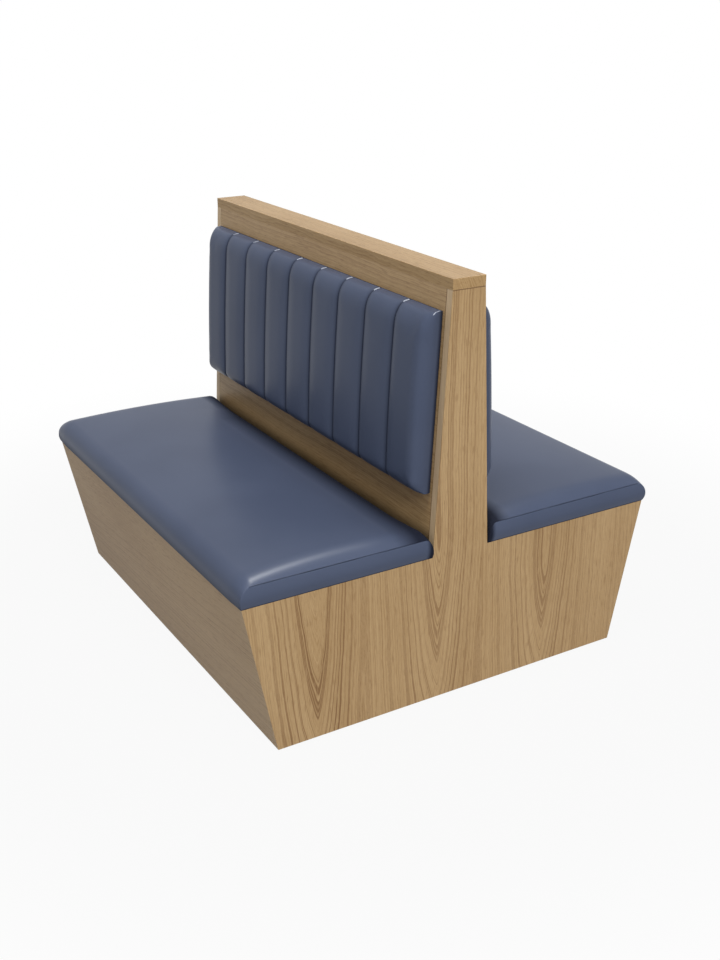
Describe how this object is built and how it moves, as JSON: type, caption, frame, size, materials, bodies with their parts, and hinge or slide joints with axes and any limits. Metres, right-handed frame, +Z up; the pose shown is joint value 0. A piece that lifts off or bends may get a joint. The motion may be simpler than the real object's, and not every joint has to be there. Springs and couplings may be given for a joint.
{
  "type": "booth bench",
  "caption": "Free-standing back-to-back booth bench: oak-faced base and upright, crowned box seat cushions that lift out, and channelled back cushions that unhook upwards.",
  "frame": {"origin": "on the floor at the middle of the bench, under the upright", "axes": "+X along the bench towards the right end panel, +Y from the front seat to the rear seat, +Z up"},
  "size_m": [1.2, 1.164, 1.045],
  "materials": {
    "oak_board": "satin",
    "blue_vinyl": "satin",
    "foam": "matte",
    "plywood": "matte",
    "pine_timber": "matte",
    "dowel_beech": "matte",
    "bar_aluminium": "satin",
    "screw_steel": "satin",
    "glide_nylon": "matte"
  },
  "bodies": {
    "frame": {"back_bottom_rail_left": "pine_timber", "back_bottom_rail_right": "pine_timber", "back_panel_front": "oak_board", "back_panel_rear": "oak_board", "back_stud_centre": "pine_timber", "back_stud_left": "pine_timber", "back_stud_right": "pine_timber", "back_top_rail_left": "pine_timber", "back_top_rail_right": "pine_timber", "base_panel_front": "oak_board", "base_panel_rear": "oak_board", "cap_dowels": "dowel_beech", "cap_screws": "screw_steel", "centre_rib_front": "plywood", "centre_rib_rear": "plywood", "cleat_screws": "screw_steel", "corner_blocks": "pine_timber", "end_panel_left": "oak_board", "end_panel_right": "oak_board", "floor_batten_front": "pine_timber", "floor_batten_rear": "pine_timber", "floor_cleat_left": "pine_timber", "floor_cleat_right": "pine_timber", "glides": "glide_nylon", "seat_cleat_left_front": "pine_timber", "seat_cleat_left_rear": "pine_timber", "seat_cleat_right_front": "pine_timber", "seat_cleat_right_rear": "pine_timber", "seat_rail_inner_front": "pine_timber", "seat_rail_inner_rear": "pine_timber", "seat_rail_outer_front": "pine_timber", "seat_rail_outer_rear": "pine_timber", "top_cap": "oak_board", "wall_bar_lower_front": "bar_aluminium", "wall_bar_lower_rear": "bar_aluminium", "wall_bar_screws": "screw_steel", "wall_bar_upper_front": "bar_aluminium", "wall_bar_upper_rear": "bar_aluminium"},
    "seat_pad_front": {"locator_screws_front": "screw_steel", "seat_board_front": "plywood", "seat_cover_front": "blue_vinyl", "seat_foam_front": "foam", "seat_locators_front": "pine_timber"},
    "seat_pad_rear": {"locator_screws_rear": "screw_steel", "seat_board_rear": "plywood", "seat_cover_rear": "blue_vinyl", "seat_foam_rear": "foam", "seat_locators_rear": "pine_timber"},
    "back_pad_front": {"back_cover_front": "blue_vinyl", "back_foam_front": "foam", "back_ply_front": "plywood", "pad_bar_lower_front": "bar_aluminium", "pad_bar_screws_front": "screw_steel", "pad_bar_upper_front": "bar_aluminium"},
    "back_pad_rear": {"back_cover_rear": "blue_vinyl", "back_foam_rear": "foam", "back_ply_rear": "plywood", "pad_bar_lower_rear": "bar_aluminium", "pad_bar_screws_rear": "screw_steel", "pad_bar_upper_rear": "bar_aluminium"}
  },
  "joints": [
    {"name": "seat_pad_front_lift", "type": "slide", "parent": "frame", "child": "seat_pad_front", "axis": [0, 0, 1], "range_m": [0, 0.05]},
    {"name": "seat_pad_rear_lift", "type": "slide", "parent": "frame", "child": "seat_pad_rear", "axis": [0, 0, 1], "range_m": [0, 0.05]},
    {"name": "back_pad_front_lift", "type": "slide", "parent": "frame", "child": "back_pad_front", "axis": [0, 0.0553, 0.9985], "range_m": [0, 0.025]},
    {"name": "back_pad_rear_lift", "type": "slide", "parent": "frame", "child": "back_pad_rear", "axis": [0, -0.0553, 0.9985], "range_m": [0, 0.025]}
  ]
}
